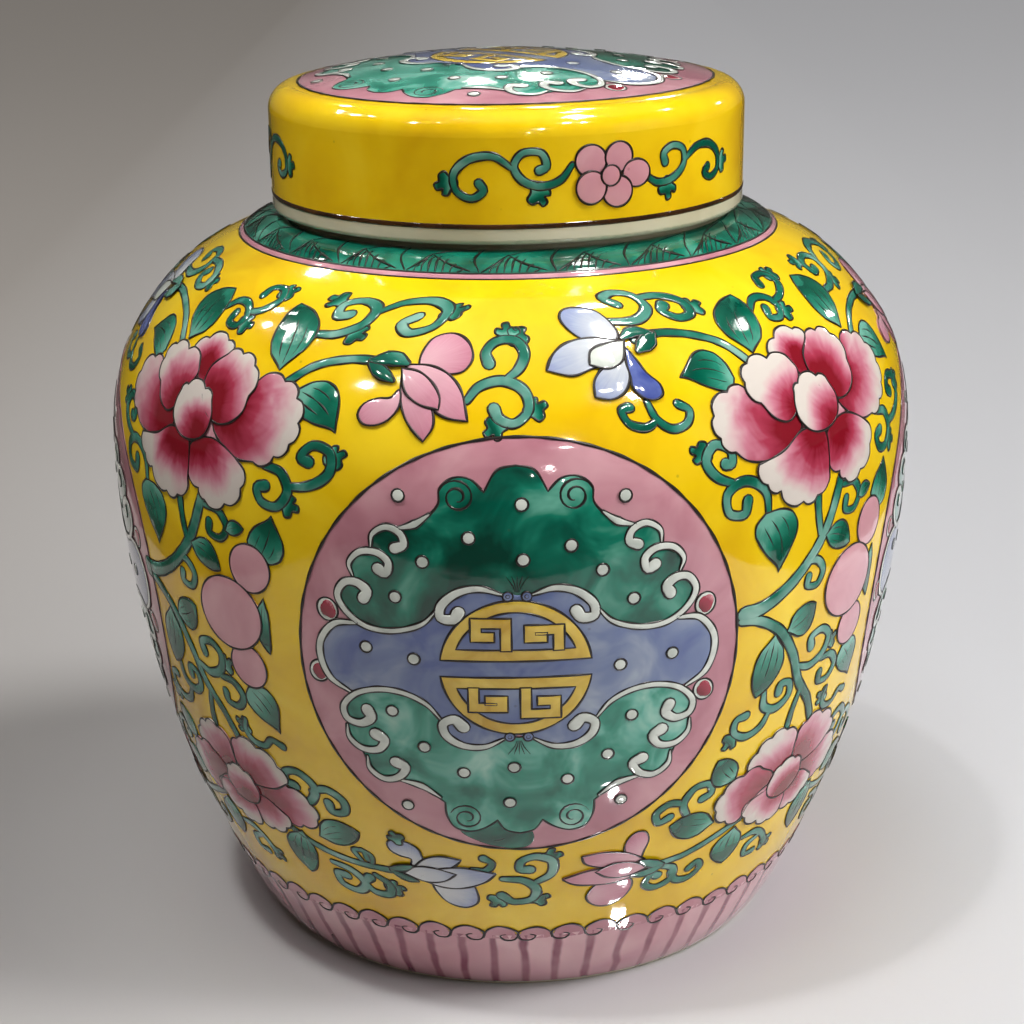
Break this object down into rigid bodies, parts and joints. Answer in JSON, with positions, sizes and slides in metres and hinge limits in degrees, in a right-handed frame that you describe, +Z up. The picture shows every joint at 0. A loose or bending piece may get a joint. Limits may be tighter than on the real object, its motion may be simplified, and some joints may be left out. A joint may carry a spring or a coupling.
{
  "type": "ginger jar",
  "caption": "Wide-shouldered porcelain jar with a short straight neck and a domed cap lid that lifts off; yellow ground with painted roundels and flower sprays.",
  "frame": {"origin": "centre of the foot ring's bottom face, where the jar stands", "axes": "+Z up along the axis that the jar and the lid are turned about; -Y is the front, with one of the four painted roundels"},
  "size_m": [0.2072, 0.2072, 0.225],
  "materials": {
    "body_glaze": "gloss",
    "lid_glaze": "gloss",
    "pink_enamel": "gloss",
    "green_enamel": "gloss",
    "blue_enamel": "gloss",
    "white_enamel": "gloss",
    "yellow_enamel": "gloss",
    "ink_line": "gloss"
  },
  "bodies": {
    "jar": {"jar_body": "body_glaze"},
    "cap": {"lid": "lid_glaze"}
  },
  "joints": [
    {"name": "lid_lift", "type": "slide", "parent": "jar", "child": "cap", "axis": [0, 0, 1], "range_m": [0, 0.08]}
  ]
}
